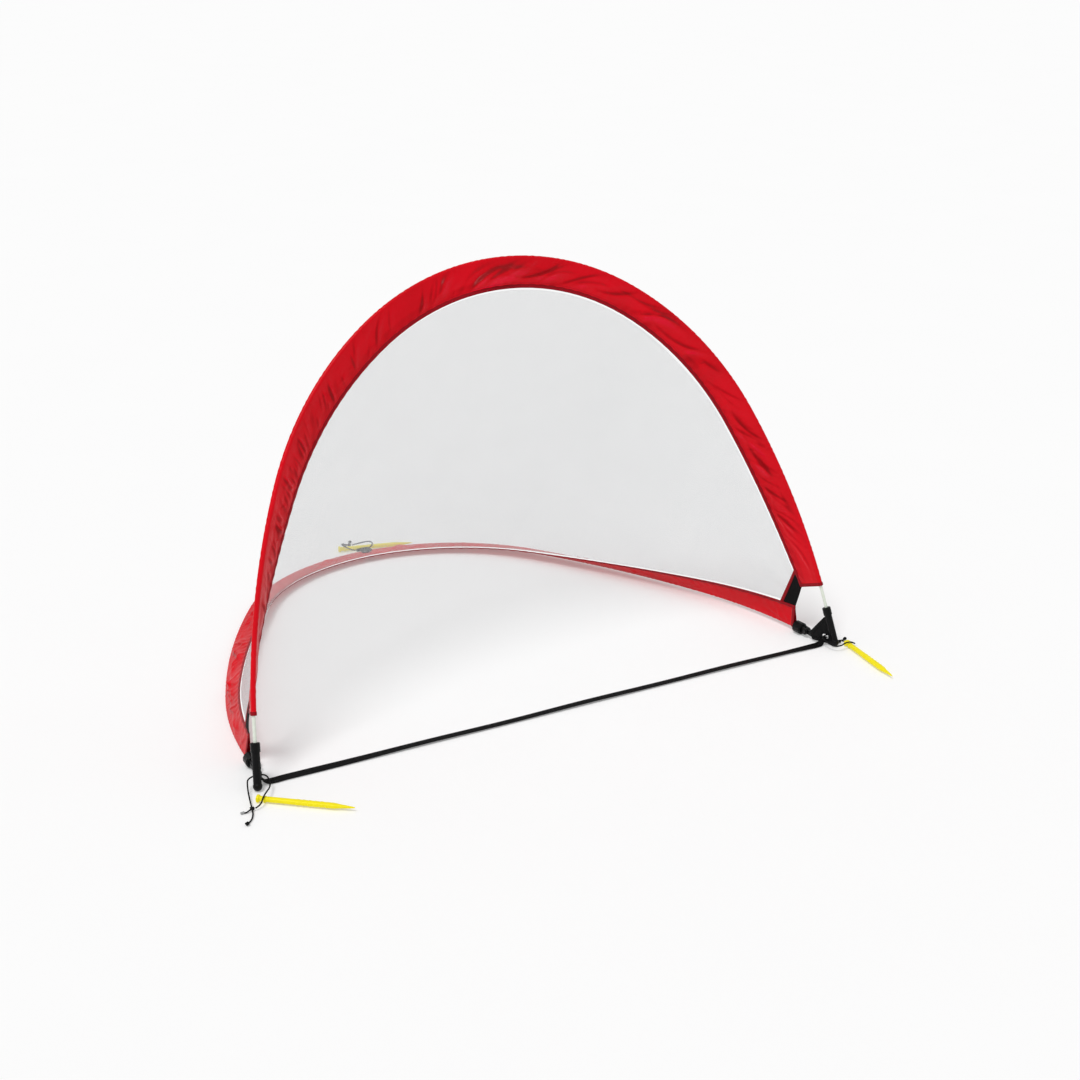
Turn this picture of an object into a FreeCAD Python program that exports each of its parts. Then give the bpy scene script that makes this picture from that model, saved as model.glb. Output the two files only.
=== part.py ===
import FreeCAD
import Part
import math
import os

# Pop-up play goal. Millimetres, +Z up, +X along the goal line, +Y into the goal.
# The origin is the middle of the cross strap, on the ground.

os.makedirs("parts", exist_ok=True)
V = FreeCAD.Vector

# Sprung rods
ROD_R = 3.0
SOCKET_GAP = 0.15
FOOT_X = 600.0
FOOT_Y = -22.0
LEAN = 19.3

ARCH_TOE_IN = 6.4
ARCH_LEAD = 84.0
ARCH_BENDS = ((17.5, 1363.0), (32.8, 596.0))
ARCH_ROD_START = 14.0

HINGE_X = 579.0
HINGE_Y = 44.0
HINGE_Z = 12.4
HOOP_DROP = 0.5
HOOP_TOE_IN = 3.6
HOOP_LEAD = 29.0
HOOP_BENDS = ((16.2, 855.0), (14.2, 1760.0))
HOOP_ROD_START = 15.0

# Fabric sleeves: a tunnel round the rod, flattened to a seam on the net side
SLEEVE_R = 4.9
SLEEVE_BORE_R = 3.5
SEAM_T = 0.9
ARCH_SLEEVE_W = 47.0
HOOP_SLEEVE_W = 37.0
ARCH_SLEEVE_START = 125.0
HOOP_SLEEVE_START = 34.5
ARCH_TWIST = (0.0, 0.0, 98.0)
HOOP_TWIST = (9.0, -10.0, 90.0)
SLEEVE_STATIONS = 36

# Bias tape on the seams, net, corner tapes and corner elastics
SLIP = 0.4
TAPE_W = 7.0
TAPE_T = 1.0
NET_T = 0.5
NET_GAP = 1.2
NET_INSET = 44.0
NET_SAG = 34.0
NET_STATIONS = 24
NET_STEPS = 6
SEAM_SAMPLES = 400
ELASTIC_W = 32.0
ELASTIC_T = 0.8

# Corner brackets
TUBE_R = 7.0
TUBE_LENGTH = 80.0
COLLAR_R = 8.2
COLLAR_LENGTH = 15.0
FOOT_R = 8.0
GUSSET_TOE_IN = 25.0
GUSSET_T = 4.0
GUSSET_REACH = 50.0
GUSSET_TOP = 60.0
RIM_T = 8.0
RIM_H = 6.0
RIB_W = 4.0
RIB_T = 6.5
SLOT_LENGTH = 14.0
SLOT_HEIGHT = 9.0
SLOT_OFFSET = 18.0
SLOT_Z = 16.0
GUSSET_FOOT = 5.0
GUSSET_SHOULDER = 8.0
GUSSET_TIP = 18.0
RIM_FOOT = 4.0
RIB_RISE = 1.0
ARM_H = 9.0
ARM_ROOT_H = 12.0
ARM_ROOT_SHORT = 6.0
HEEL_GAP = 0.1

# Hinge between a bracket and the end hub of the hoop
LUG_R = 6.5
LUG_T = 5.0
CHEEK_GAP = 0.4
CHEEK_T = 3.0
PIN_R = 2.0
PIN_GAP = 0.05
PIN_HEAD_R = 3.6
PIN_HEAD_T = 1.2
HUB_START = 11.0
HUB_LENGTH = 22.0
HUB_R = 12.0
HUB_SIDES = 12
HUB_CHAMFER = 2.5
FORK_GAP = 0.8
PIN_SLACK = 0.1
BITE = 0.5

# Cross strap on the goal line and tab at the back of the hoop
STRAP_W = 20.0
STRAP_T = 1.6
STRAP_END_X = 574.0
TONGUE_W = 8.0
TONGUE_LEAD = 8.0
TONGUE_NEAR = 6.0
TONGUE_HALF = 7.0
TONGUE_DROP = 3.0
TONGUE_SHIFT = 1.5
TAB_W = 26.0
TAB_T = 1.6
TAB_EYE_Y = 16.0
TAB_EYE_Z = 8.0
TAB_EYE_R = 3.8
TAB_TUNNEL_R = 2.0
TAB_SEAM_OVERLAP = 4.0
TAB_SLOPE = (0.35, 0.94)

# Ground pegs and the cords that tie them on
PEG_LENGTH = 165.0
PEG_R = 6.5
PEG_NOTCH_R = 4.3
PEG_RIBS = 6
PEG_RIB_START = 0.45
PEG_RIB_RUN = 0.36
PEG_TAPER_START = 0.82
PEG_SLIM = 0.8
PEG_TIP_R = 0.8
PEG_HEAD = ((0.0, 0.0), (0.9 * PEG_R, 0.0), (PEG_R, 1.2), (PEG_R, 9.0), (PEG_NOTCH_R, 11.0),
            (PEG_NOTCH_R, 16.0), (PEG_R, 19.0))
PEG_LIFT = 0.15
CORD_R = 1.3
KNOT_R = 4.2
END_KNOT_R = 3.0
END_KNOT_LIFT = 0.2
ARC_SHARE = 0.45


def turn(vector, axis, degrees):
    return FreeCAD.Rotation(axis, degrees).multVec(vector)


def polar(centre, radius, degrees):
    a = math.radians(degrees)
    return centre + V(radius * math.cos(a), radius * math.sin(a), 0)


def bow_edges(foot_x, start, lead, toe_in, bends):
    """Left-to-right rod centre line in its own plane, as tangent edges."""
    a = math.radians(toe_in)
    run = V(-math.sin(a), math.cos(a), 0)
    foot = V(foot_x, 0, 0)
    first = foot + run * start
    at = foot + run * lead
    right = [Part.makeLine(first, at)]
    heading = toe_in
    for angle, radius in bends:
        centre = polar(at, -radius, heading)
        mid = polar(centre, radius, heading + angle / 2)
        end = polar(centre, radius, heading + angle)
        right.append(Part.Arc(at, mid, end).toShape())
        heading = heading + angle
        at = end
    crown_r = at.x / math.cos(math.radians(heading))
    centre = polar(at, -crown_r, heading)
    crown = Part.Arc(at, polar(centre, crown_r, 90), V(-at.x, at.y, 0)).toShape()
    left = [edge.mirror(V(0, 0, 0), V(1, 0, 0)) for edge in right]
    return right + [crown] + list(reversed(left))


def pipe(edges, radius):
    wire = Part.Wire(Part.__sortEdges__(edges))
    start = wire.OrderedVertexes[0].Point
    tangent = wire.OrderedEdges[0].tangentAt(wire.OrderedEdges[0].FirstParameter)
    if wire.OrderedEdges[0].Orientation == "Reversed":
        tangent = wire.OrderedEdges[0].tangentAt(wire.OrderedEdges[0].LastParameter) * -1
    ring = Part.Wire([Part.makeCircle(radius, start, tangent)])
    return wire.makePipeShell([ring], True, True)


def walk(edges, start, end, count):
    """Points and unit tangents, evenly spaced along a chain of edges from right to left."""
    wire = Part.Wire(Part.__sortEdges__(edges))
    points = wire.discretize(Number=4000)
    if points[0].x < points[-1].x:
        points.reverse()
    reach = [0.0]
    for a, b in zip(points, points[1:]):
        reach.append(reach[-1] + (b - a).Length)
    total = reach[-1]
    stations = []
    index = 0
    for i in range(count + 1):
        target = start + (total - start - end) * i / count
        while index < len(reach) - 2 and reach[index + 1] < target:
            index = index + 1
        a = points[index]
        b = points[index + 1]
        share = (target - reach[index]) / (reach[index + 1] - reach[index])
        tangent = (b - a).normalize()
        if index > 0 and index < len(points) - 2:
            tangent = (points[index + 2] - points[index - 1]).normalize()
        stations.append((a + (b - a) * share, tangent, abs(2 * target / total - 1)))
    return stations


class Bow:
    """One sprung rod with the direction that its fabric leaves it in."""

    def __init__(self, edges, placement, twist, side):
        self.edges = edges
        self.placement = placement
        self.twist = twist
        self.side = side

    def place(self, shape):
        shape.Placement = self.placement
        return shape

    def frames(self, inset, count):
        """World origin, tangent and fabric direction at each station, right to left."""
        out = []
        rotation = self.placement.Rotation
        for point, tangent, u in walk(self.edges, inset, inset, count):
            inward = V(-tangent.y, tangent.x, 0)
            angle = self.twist[0] + self.twist[1] * u + self.twist[2] * u * u
            fabric = turn(inward, tangent, angle * self.side)
            out.append((self.placement.multVec(point), rotation.multVec(tangent),
                        rotation.multVec(fabric)))
        return out


arch_turn = FreeCAD.Rotation(V(1, 0, 0), 90 - LEAN)
arch = Bow(bow_edges(FOOT_X, ARCH_ROD_START, ARCH_LEAD, ARCH_TOE_IN, ARCH_BENDS),
           FreeCAD.Placement(V(0, FOOT_Y, 0), arch_turn), ARCH_TWIST, -1)
hoop_turn = FreeCAD.Rotation(V(1, 0, 0), -HOOP_DROP)
hoop = Bow(bow_edges(HINGE_X, HOOP_ROD_START, HOOP_LEAD, HOOP_TOE_IN, HOOP_BENDS),
           FreeCAD.Placement(V(0, HINGE_Y, HINGE_Z), hoop_turn), HOOP_TWIST, 1)


def strip_section(frame, near, far, half_near, half_far):
    """Four-sided section of a flat strip between two distances from the rod."""
    point, tangent, fabric = frame
    across = tangent.cross(fabric)
    a = point + fabric * near + across * half_near
    b = point + fabric * far + across * half_far
    c = point + fabric * far - across * half_far
    d = point + fabric * near - across * half_near
    return Part.makePolygon([a, b, c, d, a])


def sleeve_section(frame, width):
    """Round the back of the rod, then two plies drawn together at the seam."""
    point, tangent, fabric = frame
    across = tangent.cross(fabric)
    top = point + across * SLEEVE_R
    back = point - fabric * SLEEVE_R
    bottom = point - across * SLEEVE_R
    far = point + fabric * width - across * SEAM_T
    near = point + fabric * width + across * SEAM_T
    return Part.Wire([Part.Arc(top, back, bottom).toShape(), Part.makeLine(bottom, far),
                      Part.makeLine(far, near), Part.makeLine(near, top)])


def sleeve(bow, inset, width):
    frames = bow.frames(inset, SLEEVE_STATIONS)
    skin = Part.makeLoft([sleeve_section(f, width) for f in frames], True, False)
    return skin.cut(bow.place(pipe(bow.edges, SLEEVE_BORE_R)))


def seam_tape(bow, inset, width):
    near = width + SLIP
    sections = [strip_section(f, near, near + TAPE_W, TAPE_T, TAPE_T)
                for f in bow.frames(inset, SLEEVE_STATIONS)]
    return Part.makeLoft(sections, True, False)


def net_edge(bow, inset, width):
    reach = width + SLIP + TAPE_W + NET_GAP
    return [p + fabric * reach for p, tangent, fabric in bow.frames(inset, NET_STATIONS)]


def net_section(upper, lower, sag, normal):
    """Thin closed section of the net along one line from arch to hoop."""
    face = []
    back = []
    for i in range(NET_STEPS + 1):
        v = i / NET_STEPS
        middle = upper + (lower - upper) * v - normal * (4 * sag * v * (1 - v))
        face.append(middle + normal * NET_T)
        back.append(middle - normal * NET_T)
    front = Part.BSplineCurve()
    front.interpolate(face)
    rear = Part.BSplineCurve()
    rear.interpolate(list(reversed(back)))
    return Part.Wire([front.toShape(), Part.makeLine(face[-1], back[-1]), rear.toShape(),
                      Part.makeLine(back[0], face[0])])


def net():
    uppers = net_edge(arch, ARCH_SLEEVE_START - ARCH_ROD_START + NET_INSET, ARCH_SLEEVE_W)
    lowers = net_edge(hoop, HOOP_SLEEVE_START - HOOP_ROD_START + NET_INSET, HOOP_SLEEVE_W)
    sections = []
    last = len(uppers) - 1
    for i, (upper, lower) in enumerate(zip(uppers, lowers)):
        a = max(i - 1, 0)
        b = min(i + 1, last)
        along = (uppers[b] + lowers[b]) - (uppers[a] + lowers[a])
        normal = (lower - upper).cross(along).normalize()
        if normal.z < 0:
            normal = normal * -1
        sag = NET_SAG * math.sin(math.pi * i / last)
        sections.append(net_section(upper, lower, sag, normal))
    return Part.makeLoft(sections, True, False)


def corner_panel(first, width, half_t):
    """Flat strip across the right-hand corner, from the arch seam to the hoop seam."""
    upper_reach = ARCH_SLEEVE_W + SLIP + TAPE_W / 2
    lower_reach = HOOP_SLEEVE_W + SLIP + TAPE_W / 2
    ends = []
    for bow, inset, reach in ((arch, ARCH_SLEEVE_START - ARCH_ROD_START, upper_reach),
                              (hoop, HOOP_SLEEVE_START - HOOP_ROD_START, lower_reach)):
        near = bow.frames(inset + first, SEAM_SAMPLES)[0]
        far = bow.frames(inset + first + width, SEAM_SAMPLES)[0]
        ends.append((near[0] + near[2] * reach, far[0] + far[2] * reach))
    (a, b), (c, d) = ends
    axis = (c + d - a - b).normalize()
    clear = TAPE_W / 2 + SLIP + TAPE_T + 2 * NET_GAP
    a = a + axis * clear
    b = b + axis * clear
    c = c - axis * clear
    d = d - axis * clear
    sections = []
    for p, q in ((a, b), (c, d)):
        lift = (q - p).cross(axis).normalize() * half_t
        sections.append(Part.makePolygon([p + lift, q + lift, q - lift, p - lift, p + lift]))
    return Part.makeLoft(sections, True, True)


def bracket():
    """Right-hand corner moulding: rod socket, foot, gusset plate and hinge lug."""
    toe = math.radians(ARCH_TOE_IN)
    lean = math.radians(LEAN)
    up = V(-math.sin(toe), math.cos(toe) * math.sin(lean), math.cos(toe) * math.cos(lean))
    foot = V(FOOT_X, FOOT_Y, 0)
    heel = foot + up * (FOOT_R / up.z + HEEL_GAP)
    body = Part.makeSphere(FOOT_R, heel)
    body = body.fuse(Part.makeCylinder(TUBE_R, TUBE_LENGTH - FOOT_R, heel, up))
    collar_at = foot + up * (TUBE_LENGTH - COLLAR_LENGTH)
    body = body.fuse(Part.makeCylinder(COLLAR_R, COLLAR_LENGTH, collar_at, up))

    away = math.radians(GUSSET_TOE_IN)
    back = V(-math.sin(away), math.cos(away), 0)
    normal = back.cross(up).normalize()
    outline = [(0, GUSSET_FOOT), (0, GUSSET_TOP), (GUSSET_SHOULDER, GUSSET_TOP - 2),
               (GUSSET_REACH, GUSSET_TIP), (GUSSET_REACH, GUSSET_FOOT)]
    points = [foot + back * a + up * h - normal * (GUSSET_T / 2) for a, h in outline]
    plate = Part.Face(Part.makePolygon(points + points[:1])).extrude(normal * GUSSET_T)
    rim_end = GUSSET_REACH - 2
    rim_points = [(0, RIM_FOOT), (0, RIM_FOOT + RIM_H), (rim_end, RIM_FOOT + RIM_H),
                  (rim_end, RIM_FOOT)]
    points = [foot + back * a + up * h - normal * (RIM_T / 2) for a, h in rim_points]
    rim = Part.Face(Part.makePolygon(points + points[:1])).extrude(normal * RIM_T)
    rib_points = [(1, GUSSET_TOP + RIB_RISE), (GUSSET_SHOULDER + 1, GUSSET_TOP - RIB_RISE),
                  (GUSSET_REACH + RIB_RISE, GUSSET_TIP + RIB_RISE),
                  (rim_end, GUSSET_TIP - RIB_W), (GUSSET_SHOULDER - 1, GUSSET_TOP - RIB_W),
                  (1, GUSSET_TOP - RIB_W)]
    points = [foot + back * a + up * h - normal * (RIB_T / 2) for a, h in rib_points]
    rib = Part.Face(Part.makePolygon(points + points[:1])).extrude(normal * RIB_T)
    body = body.fuse(plate).fuse(rim).fuse(rib)

    hinge = V(HINGE_X, HINGE_Y, HINGE_Z)
    body = body.fuse(Part.makeCylinder(LUG_R, LUG_T, hinge - V(LUG_T / 2, 0, 0), V(1, 0, 0)))
    arm_start = hinge - V(0, 3, 0)
    arm_bend = hinge - V(0, LUG_R + 1.2, 0)
    arm_end = foot + back * (GUSSET_REACH - ARM_ROOT_SHORT) + up * (HINGE_Z / up.z)
    body = body.fuse(bar(arm_start, arm_bend, LUG_T, ARM_H, ARM_H))
    body = body.fuse(bar(arm_bend + V(0, 1, 0), arm_end, LUG_T, ARM_H, ARM_ROOT_H))
    body = body.cut(Part.makeCylinder(PIN_R + PIN_GAP, 2 * LUG_T, hinge - V(LUG_T, 0, 0),
                                      V(1, 0, 0)))

    socket_at = foot + up * (ARCH_ROD_START - 1)
    body = body.cut(Part.makeCylinder(ROD_R + SOCKET_GAP, TUBE_LENGTH, socket_at, up))
    half = (SLOT_LENGTH - SLOT_HEIGHT) / 2
    slot_mid = foot + back * SLOT_OFFSET + up * (SLOT_Z / up.z)
    for shift in (-half, half):
        at = slot_mid + back * shift - normal * RIM_T
        body = body.cut(Part.makeCylinder(SLOT_HEIGHT / 2, 2 * RIM_T, at, normal))
    rise = normal.cross(back)
    corner = slot_mid - back * half - rise * (SLOT_HEIGHT / 2) - normal * RIM_T
    middle = Part.Face(Part.makePolygon([corner, corner + back * (2 * half),
                                         corner + back * (2 * half) + rise * SLOT_HEIGHT,
                                         corner + rise * SLOT_HEIGHT, corner]))
    return body.cut(middle.extrude(normal * (2 * RIM_T)))


def bar(start, end, width, start_height, end_height):
    """Upright bar of fixed width between two points, with its own height at each end."""
    up = V(0, 0, 1)
    side = (end - start).cross(up).normalize() * (width / 2)
    sections = []
    for at, height in ((start, start_height), (end, end_height)):
        lift = up * (height / 2)
        sections.append(Part.makePolygon([at + side + lift, at - side + lift,
                                          at - side - lift, at + side - lift,
                                          at + side + lift]))
    return Part.makeLoft(sections, True, True)


def hub():
    """Right-hand end hub of the hoop, with the fork that straddles the bracket's lug."""
    hinge = V(HINGE_X, HINGE_Y, HINGE_Z)
    inner = LUG_T / 2 + CHEEK_GAP
    block_y = LUG_R + FORK_GAP
    body = Part.makeBox(2 * (inner + CHEEK_T), HUB_START + 1 - block_y, 2 * LUG_R,
                        hinge + V(-inner - CHEEK_T, block_y, -LUG_R))
    for x in (-inner - CHEEK_T, inner):
        cheek = Part.makeCylinder(LUG_R, CHEEK_T, hinge + V(x, 0, 0), V(1, 0, 0))
        arm = Part.makeBox(CHEEK_T, block_y + BITE, 2 * LUG_R, hinge + V(x, 0, -LUG_R))
        body = body.fuse(cheek).fuse(arm)
    run = V(-math.sin(math.radians(HOOP_TOE_IN)), math.cos(math.radians(HOOP_TOE_IN)), 0)
    run = hoop_turn.multVec(run)
    side = run.cross(V(0, 0, 1)).normalize()
    rise = side.cross(run)

    def ring(at, radius):
        corners = []
        for i in range(HUB_SIDES + 1):
            a = 2 * math.pi * (i + 0.5) / HUB_SIDES
            corners.append(at + side * (radius * math.cos(a)) + rise * (radius * math.sin(a)))
        return Part.makePolygon(corners)

    first = hinge + run * HUB_START
    last = hinge + run * (HUB_START + HUB_LENGTH)
    barrel = Part.makeLoft([ring(first, HUB_R - HUB_CHAMFER),
                            ring(first + run * HUB_CHAMFER, HUB_R),
                            ring(last - run * HUB_CHAMFER, HUB_R),
                            ring(last, HUB_R - HUB_CHAMFER)], True, True)
    body = body.fuse(barrel)
    half_bore = V(2 * HUB_START, 0, 0)
    body = body.cut(Part.makeCylinder(PIN_R + PIN_GAP, 2 * half_bore.x, hinge - half_bore,
                                      V(1, 0, 0)))
    rod_at = hinge + run * (HOOP_ROD_START - 1)
    return body.cut(Part.makeCylinder(ROD_R + SOCKET_GAP, HUB_LENGTH + 10, rod_at, run))


def hinge_pin():
    """Right-hand rivet: shank and two button heads outside the cheeks."""
    reach = LUG_T / 2 + CHEEK_GAP + CHEEK_T + PIN_SLACK
    hinge = V(HINGE_X, HINGE_Y, HINGE_Z)
    pin = Part.makeCylinder(PIN_R, 2 * (reach + BITE), hinge - V(reach + BITE, 0, 0),
                            V(1, 0, 0))
    for x in (-reach - PIN_HEAD_T, reach):
        pin = pin.fuse(Part.makeCylinder(PIN_HEAD_R, PIN_HEAD_T, hinge + V(x, 0, 0),
                                         V(1, 0, 0)))
    return pin


def cross_strap():
    """Flat webbing between the corners, with a narrow tongue through each bracket's slot."""
    strap = Part.makeBox(2 * STRAP_END_X, STRAP_W, STRAP_T,
                         V(-STRAP_END_X, -STRAP_W / 2, 0))
    slot_x = FOOT_X - SLOT_OFFSET * math.sin(math.radians(GUSSET_TOE_IN)) - TONGUE_SHIFT
    low = SLOT_Z - TONGUE_DROP
    root = STRAP_END_X - TONGUE_LEAD
    outer = slot_x + TONGUE_HALF
    profile = [(root, 0), (STRAP_END_X, 0), (slot_x - TONGUE_NEAR, low), (outer, low),
               (outer, low + STRAP_T), (slot_x - TONGUE_HALF, low + STRAP_T),
               (STRAP_END_X - 1, STRAP_T), (root, STRAP_T)]
    for s in (-1, 1):
        points = [V(s * x, -TONGUE_W / 2, z) for x, z in profile]
        face = Part.Face(Part.makePolygon(points + points[:1]))
        strap = strap.fuse(face.extrude(V(0, TONGUE_W, 0)))
    return strap.removeSplitter()


def rear_tab():
    """Webbing tab sewn to the hoop's seam at the back, with a tunnel for the peg's cord."""
    point, tangent, fabric = hoop.frames(0, 2)[1]
    across = tangent.cross(fabric)
    if across.y < 0:
        across = across * -1
    seam = point + fabric * (HOOP_SLEEVE_W - TAB_SEAM_OVERLAP) + across * (SEAM_T + 2 * SLIP)
    crest = point + across * (SLEEVE_R + 2 * SLIP)
    eye = V(0, point.y + TAB_EYE_Y, TAB_EYE_Z)
    spine = [seam, crest, eye + V(0, -1, TAB_EYE_R - TAB_T)]
    outline = spine + [p + V(0, *TAB_SLOPE) * TAB_T for p in reversed(spine)]
    shift = V(TAB_W / 2, 0, 0)
    points = [p - shift for p in outline]
    face = Part.Face(Part.makePolygon(points + points[:1]))
    tab = face.extrude(V(TAB_W, 0, 0))
    tab = tab.fuse(Part.makeCylinder(TAB_EYE_R, TAB_W, eye - shift, V(1, 0, 0)))
    tab = tab.cut(Part.makeCylinder(TAB_TUNNEL_R, 2 * TAB_W, eye - shift * 2, V(1, 0, 0)))
    return tab, eye


def peg(head, azimuth):
    """Ground peg lying on the ground, head first, pointing along an azimuth from +X."""
    outline = [V(radius, 0, z) for radius, z in PEG_HEAD]
    z = PEG_LENGTH * PEG_RIB_START
    outline.append(V(PEG_R * 0.92, 0, z))
    pitch = PEG_LENGTH * PEG_RIB_RUN / PEG_RIBS
    for i in range(PEG_RIBS):
        foot = z + i * pitch
        outline.append(V(PEG_R, 0, foot + 0.3 * pitch))
        outline.append(V(PEG_R * PEG_SLIM, 0, foot + 0.9 * pitch))
    outline.append(V(PEG_R * PEG_SLIM, 0, PEG_LENGTH * PEG_TAPER_START))
    outline.append(V(PEG_TIP_R, 0, PEG_LENGTH))
    outline.append(V(0, 0, PEG_LENGTH))
    face = Part.Face(Part.makePolygon(outline + outline[:1]))
    body = face.revolve(V(0, 0, 0), V(0, 0, 1), 360)
    body.Placement = FreeCAD.Placement(V(0, 0, 0), FreeCAD.Rotation(V(0, 1, 0), 90))
    spin = FreeCAD.Rotation(V(0, 0, 1), azimuth)
    lay = FreeCAD.Placement(V(head[0], head[1], PEG_R + PEG_LIFT), spin)
    body.Placement = lay.multiply(body.Placement)
    return body


def cord_edges(points):
    """Straight runs joined by tangent arcs, and the length and tightest bend they give."""
    edges = []
    tightest = 1e9
    at = points[0]
    for a, b, c in zip(points, points[1:], points[2:]):
        u = (a - b).normalize()
        w = (c - b).normalize()
        half_turn = (math.pi - u.getAngle(w)) / 2
        reach = ARC_SHARE * min((a - b).Length, (c - b).Length)
        radius = reach / math.tan(half_turn)
        tightest = min(tightest, radius)
        centre = b + (u + w).normalize() * (radius / math.cos(half_turn))
        mid = centre + (b - centre).normalize() * radius
        edges.append(Part.makeLine(at, b + u * reach))
        edges.append(Part.Arc(b + u * reach, mid, b + w * reach).toShape())
        at = b + w * reach
    edges.append(Part.makeLine(at, points[-1]))
    return edges, sum(edge.Length for edge in edges), tightest


def cord(name, points):
    edges, length, tightest = cord_edges(points)
    solid = pipe(edges, CORD_R)
    share = solid.Volume / (math.pi * CORD_R ** 2 * length)
    print("%s: length %.0f mm, tightest bend %.1f mm, volume share %.3f"
          % (name, length, tightest, share))
    return solid


def knot(at, tails):
    """Overhand knot with two free ends, each finished with a small end knot."""
    solid = Part.makeSphere(KNOT_R, at)
    for degrees, length in tails:
        end = polar(at, length, degrees)
        end.z = END_KNOT_R + END_KNOT_LIFT
        run = end - at
        solid = solid.fuse(Part.makeCylinder(CORD_R, run.Length, at, run))
        solid = solid.fuse(Part.makeSphere(END_KNOT_R, end))
    return solid


def flip(shape):
    return shape.mirror(V(0, 0, 0), V(1, 0, 0))


parts = {}
parts["front_rod"] = arch.place(pipe(arch.edges, ROD_R))
parts["ground_rod"] = hoop.place(pipe(hoop.edges, ROD_R))
parts["front_sleeve"] = sleeve(arch, ARCH_SLEEVE_START - ARCH_ROD_START, ARCH_SLEEVE_W)
parts["ground_sleeve"] = sleeve(hoop, HOOP_SLEEVE_START - HOOP_ROD_START, HOOP_SLEEVE_W)
parts["front_seam_tape"] = seam_tape(arch, ARCH_SLEEVE_START - ARCH_ROD_START, ARCH_SLEEVE_W)
parts["ground_seam_tape"] = seam_tape(hoop, HOOP_SLEEVE_START - HOOP_ROD_START, HOOP_SLEEVE_W)
parts["net"] = net()
parts["cross_strap"] = cross_strap()

for side, pose in (("right", lambda s: s), ("left", flip)):
    parts[side + "_bracket"] = pose(bracket())
    parts[side + "_hoop_hub"] = pose(hub())
    parts[side + "_hinge_pin"] = pose(hinge_pin())
    parts[side + "_corner_elastic"] = pose(corner_panel(0, ELASTIC_W, ELASTIC_T))
    parts[side + "_corner_tape"] = pose(corner_panel(ELASTIC_W + NET_GAP, TAPE_W, TAPE_T))

tab, eye = rear_tab()
parts["rear_tab"] = tab

# Each peg: where its head lies, which way it points, the knot, the knot's free ends
# (azimuth, length) and the run of the cord from the knot, through the eye and back.
LEFT_CORD = ((-630.5, -72.3, 5.2), (-625, -48, 8), (-617, -20, 12), (-609.5, -0.8, 18.2),
             (-578, -0.8, 18.2), (-578.5, -24, 14), (-586, -40, 12), (-596, -52.5, 14.2),
             (-608.5, -67.5, 13.4), (-616, -77, 6.4), (-626, -79, 4.4))
RIGHT_CORD = ((612.5, -7.8, 5.2), (611, -2, 12), (604, -0.5, 18.2), (579, -0.7, 18.2),
              (577, -24, 13), (583, -41, 11), (596, -44, 11.5), (608.5, -40.6, 13.8),
              (621, -41.6, 13.6), (631, -42.4, 7.5), (635.5, -33, 4.6), (630, -22.5, 4.4),
              (620.9, -14.4, 4.4))
REAR_CORD = ((-15.8, 49.0, 5.2), (-30, 44, 12), (-36.5, 28.5, 15.4), (-30, 11, 13),
             (-19, 0, 8), (18, 0, 8), (29, 5, 15.6), (27, 20, 16.6), (12, 33, 11),
             (-5.1, 44.6, 4.4))
rear_cord = [(x, y + eye.y, z + eye.z - TAB_EYE_Z) for x, y, z in REAR_CORD]
PEGS = {"left": ((-614.0, -53.0), -40.0, (-632.0, -78.0, 4.4), ((187, 17), (-120, 46)),
                 LEFT_CORD),
        "right": ((621.0, -28.0), -98.0, (615.0, -13.0, 4.4), ((75, 18), (20, 22)),
                  RIGHT_CORD),
        "rear": ((-44.0, eye.y + 30.0), -14.3, (-10.0, eye.y + 48.0, 4.4),
                 ((118, 16), (62, 22)), rear_cord)}
for side, (head, azimuth, knot_at, tails, run) in PEGS.items():
    parts[side + "_peg"] = peg(head, azimuth)
    parts[side + "_cord_knot"] = knot(V(*knot_at), tails)
    parts[side + "_peg_cord"] = cord(side + "_peg_cord", [V(*p) for p in run])

for name, shape in parts.items():
    shape.exportStep("parts/" + name + ".step")
    print("%s: %d solid, valid %s, %.0f mm3" % (name, len(shape.Solids), shape.isValid(),
                                                shape.Volume))
print("eye of the rear tab: y %.1f, z %.1f" % (eye.y, eye.z))
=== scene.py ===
import math

import bpy
import numpy as np
from mathutils import Matrix, Vector


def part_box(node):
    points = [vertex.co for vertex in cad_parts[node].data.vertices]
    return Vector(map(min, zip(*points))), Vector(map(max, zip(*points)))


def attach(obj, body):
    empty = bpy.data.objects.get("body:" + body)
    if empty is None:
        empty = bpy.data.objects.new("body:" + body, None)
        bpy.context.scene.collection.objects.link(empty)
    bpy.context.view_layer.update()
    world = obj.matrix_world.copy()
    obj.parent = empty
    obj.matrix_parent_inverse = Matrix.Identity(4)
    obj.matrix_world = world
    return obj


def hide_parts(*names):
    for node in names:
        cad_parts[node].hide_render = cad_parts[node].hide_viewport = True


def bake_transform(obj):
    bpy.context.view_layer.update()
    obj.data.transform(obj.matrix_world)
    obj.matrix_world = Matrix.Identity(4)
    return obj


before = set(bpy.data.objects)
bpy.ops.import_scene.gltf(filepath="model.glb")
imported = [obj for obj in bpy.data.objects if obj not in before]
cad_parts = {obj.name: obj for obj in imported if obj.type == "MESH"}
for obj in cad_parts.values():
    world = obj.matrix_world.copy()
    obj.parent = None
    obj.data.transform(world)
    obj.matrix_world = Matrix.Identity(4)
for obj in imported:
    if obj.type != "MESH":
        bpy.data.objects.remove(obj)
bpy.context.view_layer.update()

# Pop-up play goal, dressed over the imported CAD. Metres, +Z up, +X along the goal line.

# ---------------------------------------------------------------- dimensions
MM = 0.001
LEAN = math.radians(19.3)       # how far the arch leans back over the net
FOOT_Y = -0.022                 # the arch's feet stand this far in front of the goal line
HINGE = np.array([0, 0.044, 0.0124])
HOOP_PITCH = math.radians(-0.5)

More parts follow.
